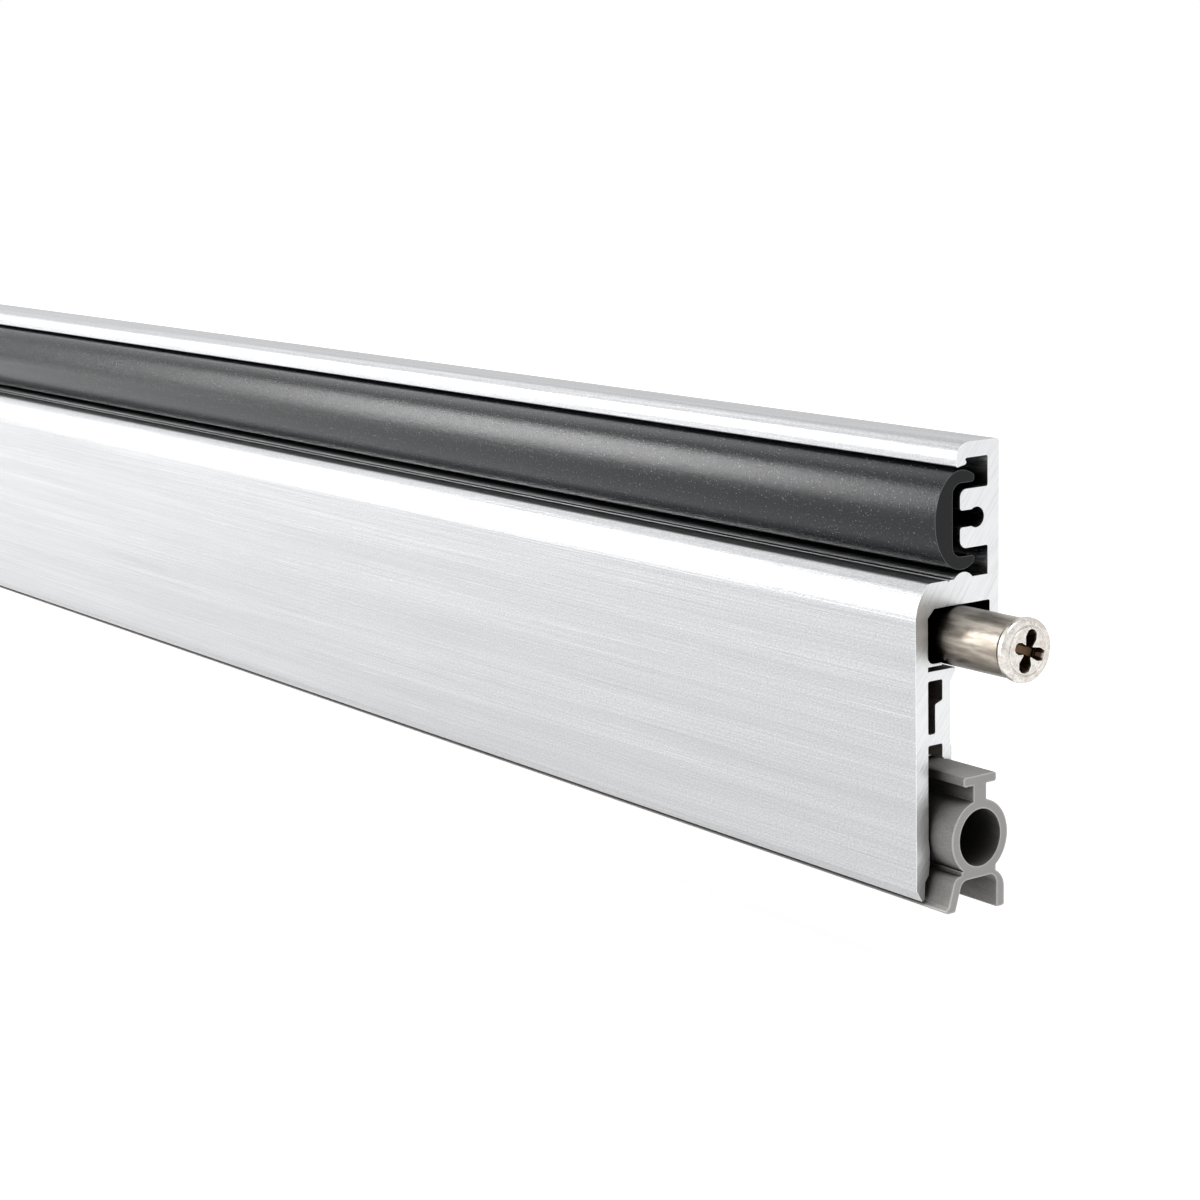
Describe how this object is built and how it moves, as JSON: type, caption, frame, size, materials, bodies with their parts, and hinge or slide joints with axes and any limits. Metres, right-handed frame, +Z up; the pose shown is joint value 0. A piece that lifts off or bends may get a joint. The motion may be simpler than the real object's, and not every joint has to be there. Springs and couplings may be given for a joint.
{
  "type": "automatic door bottom seal",
  "caption": "Surface-mounted drop-down door bottom seal: an aluminium housing with clip-in cover strip, end plunger and a bulb seal that lowers as the plunger is pressed.",
  "frame": {"origin": "middle of the line of fixing holes, on the housing's back face that meets the door", "axes": "+X along the housing towards the plunger, +Y square to the back face, into the door, +Z up"},
  "size_m": [0.3499, 0.0128, 0.0541],
  "materials": {
    "anodised_aluminium": "satin natural anodised, fine lines along the length",
    "rail_aluminium": "mill finish",
    "strip_plastic": "soft sheen, charcoal",
    "seal_silicone": "matt grey",
    "nickel_plate": "satin nickel plate",
    "zinc_steel": "bright zinc plate",
    "spring_steel": "drawn wire",
    "guide_plastic": "moulded black"
  },
  "bodies": {
    "housing": {"housing": "anodised_aluminium", "cover_strip": "strip_plastic", "spring_seat": "guide_plastic", "lift_guide_1": "guide_plastic", "lift_guide_2": "guide_plastic", "return_spring": "spring_steel", "guide_screw_1": "zinc_steel", "guide_screw_2": "zinc_steel", "guide_screw_3": "zinc_steel", "guide_screw_4": "zinc_steel", "guide_screw_5": "zinc_steel"},
    "drive": {"plunger_sleeve": "nickel_plate", "thread_block": "zinc_steel", "drive_bar": "zinc_steel", "block_rivet_1": "zinc_steel", "block_rivet_2": "zinc_steel", "cam_pin_1": "zinc_steel", "cam_pin_2": "zinc_steel"},
    "adjuster": {"adjusting_screw": "nickel_plate"},
    "carrier": {"carrier_rail": "rail_aluminium", "seal_strip": "seal_silicone", "ramp_plate_1": "zinc_steel", "ramp_plate_2": "zinc_steel", "plate_rivet_1": "zinc_steel", "plate_rivet_2": "zinc_steel", "plate_rivet_3": "zinc_steel", "plate_rivet_4": "zinc_steel"}
  },
  "joints": [
    {"name": "plunger_slide", "type": "slide", "parent": "housing", "child": "drive", "axis": [-1, 0, 0], "range_m": [0, 0.01], "stiffness_N_per_m": 1200, "springref_m": -0.01, "deforming": ["return_spring"]},
    {"name": "seal_drop", "type": "slide", "parent": "housing", "child": "carrier", "axis": [0, 0, -1], "range_m": [0, 0.01]},
    {"name": "adjuster_turn", "type": "hinge", "parent": "drive", "child": "adjuster", "pos_m": [0.1788, -0.0063, -0.0134], "axis": [1, 0, 0], "continuous": true}
  ],
  "couplings": [
    {"joint": "seal_drop", "follows": "plunger_slide", "ratio": 1}
  ]
}
